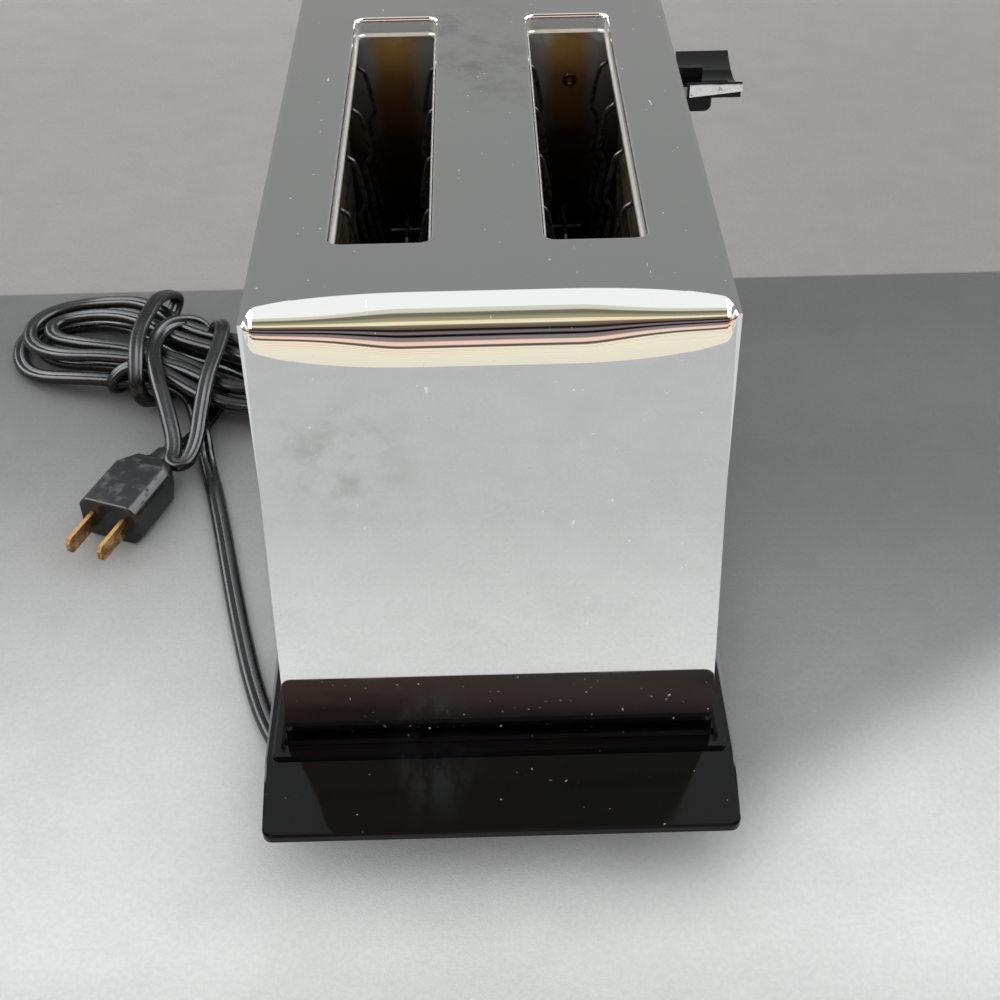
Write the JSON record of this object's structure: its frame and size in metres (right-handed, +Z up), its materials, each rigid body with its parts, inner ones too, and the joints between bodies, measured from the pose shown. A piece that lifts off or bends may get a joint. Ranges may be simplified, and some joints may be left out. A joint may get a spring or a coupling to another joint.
{
  "type": "pop-up toaster",
  "caption": "Chrome pop-up toaster with straight bread slots, crowned end bends, a black base with sloping carrying aprons, lift lever, browning knob and tied mains lead.",
  "frame": {"origin": "on the standing plane, under the middle of the two bread slots", "axes": "+Z up, +Y along the slots to the lift mechanism's end, +X to the lever side"},
  "size_m": [0.2902, 0.3027, 0.1685],
  "materials": {
    "bright_shell": "polished chrome plate",
    "base_black": "glossy black phenolic moulding",
    "foot_rubber": "matt black rubber",
    "plated_fastener": "zinc plated steel",
    "galvanised_sheet": "dull sheet steel",
    "mica": "mica sheet",
    "resistance_ribbon": "oxidised resistance ribbon",
    "guard_wire": "heat-darkened steel wire",
    "bright_steel": "bright steel",
    "bush_brass": "brass",
    "control_black": "glossy black phenolic",
    "bright_strip": "bright metal trim",
    "bimetal": "bimetal strip",
    "ceramic": "glazed ceramic",
    "lead_sleeve": "glass-braid sleeve",
    "cord_black": "black flexible plastic"
  },
  "bodies": {
    "body": {"base_frame": "base_black", "base_screws": "plated_fastener", "bimetal_strip": "bimetal", "bread_guard_1": "guard_wire", "bread_guard_2": "guard_wire", "bread_guard_3": "guard_wire", "bread_guard_4": "guard_wire", "chassis_nuts": "plated_fastener", "chassis_pan": "galvanised_sheet", "cord_hank": "cord_black", "cord_lead": "cord_black", "cord_tie": "cord_black", "element_card_centre_left": "mica", "element_card_centre_right": "mica", "element_card_left": "mica", "element_card_right": "mica", "element_winding_centre_left": "resistance_ribbon", "element_winding_centre_right": "resistance_ribbon", "element_winding_left": "resistance_ribbon", "element_winding_right": "resistance_ribbon", "feet": "foot_rubber", "front_liner": "galvanised_sheet", "guard_rails": "guard_wire", "guide_rod": "bright_steel", "heat_shield_left": "galvanised_sheet", "heat_shield_right": "galvanised_sheet", "inner_leads": "lead_sleeve", "latch_bracket": "galvanised_sheet", "latch_pin": "bright_steel", "lift_spring": "bright_steel", "plug_body": "cord_black", "plug_prongs": "bush_brass", "rear_liner": "galvanised_sheet", "rod_clip": "plated_fastener", "shell_wrap": "bright_shell", "side_panel_left": "bright_shell", "side_panel_right": "bright_shell", "strain_relief": "cord_black", "switch_block": "ceramic", "switch_springs": "bush_brass", "terminal_block": "ceramic", "terminal_screws": "plated_fastener", "thermostat_rail": "galvanised_sheet", "top_bracket": "galvanised_sheet", "tray_hinge_pin": "bright_steel"},
    "carriage": {"carriage_frame": "galvanised_sheet", "carriage_bush": "bush_brass", "bread_rack_left": "guard_wire", "bread_rack_right": "guard_wire", "lever_arm": "bright_steel", "lever_rivets": "plated_fastener", "lever_knob": "control_black", "knob_strip": "bright_strip"},
    "latch": {"latch_lever": "bright_steel"},
    "control": {"browning_knob": "control_black", "knob_pointer": "bright_strip", "control_shaft": "bright_steel"},
    "thermostat": {"thermostat_slide": "bush_brass"},
    "tray": {"crumb_tray": "galvanised_sheet", "tray_knob": "bright_steel"}
  },
  "joints": [
    {"name": "lift", "type": "slide", "parent": "body", "child": "carriage", "axis": [0, 0, -1], "range_m": [0, 0.057], "stiffness_N_per_m": 30, "springref_m": -0.06, "deforming": ["lift_spring"]},
    {"name": "latch_pivot", "type": "hinge", "parent": "body", "child": "latch", "pos_m": [-0.03, 0.0835, 0.042], "axis": [0, 1, 0], "range_deg": [-14, 0], "stiffness_Nm_per_rad": 0.01, "springref_deg": 17.19},
    {"name": "browning_turn", "type": "hinge", "parent": "body", "child": "control", "pos_m": [0.065, 0.086, 0.055], "axis": [1, 0, 0], "range_deg": [0, 150]},
    {"name": "thermostat_travel", "type": "slide", "parent": "body", "child": "thermostat", "axis": [-1, 0, 0], "range_m": [0, 0.0013]},
    {"name": "tray_hinge", "type": "hinge", "parent": "body", "child": "tray", "pos_m": [-0.0442, 0, 0.0096], "axis": [0, 1, 0], "range_deg": [0, 75]}
  ],
  "couplings": [
    {"joint": "thermostat_travel", "follows": "browning_turn", "m_per_rad": 0.00047746}
  ]
}
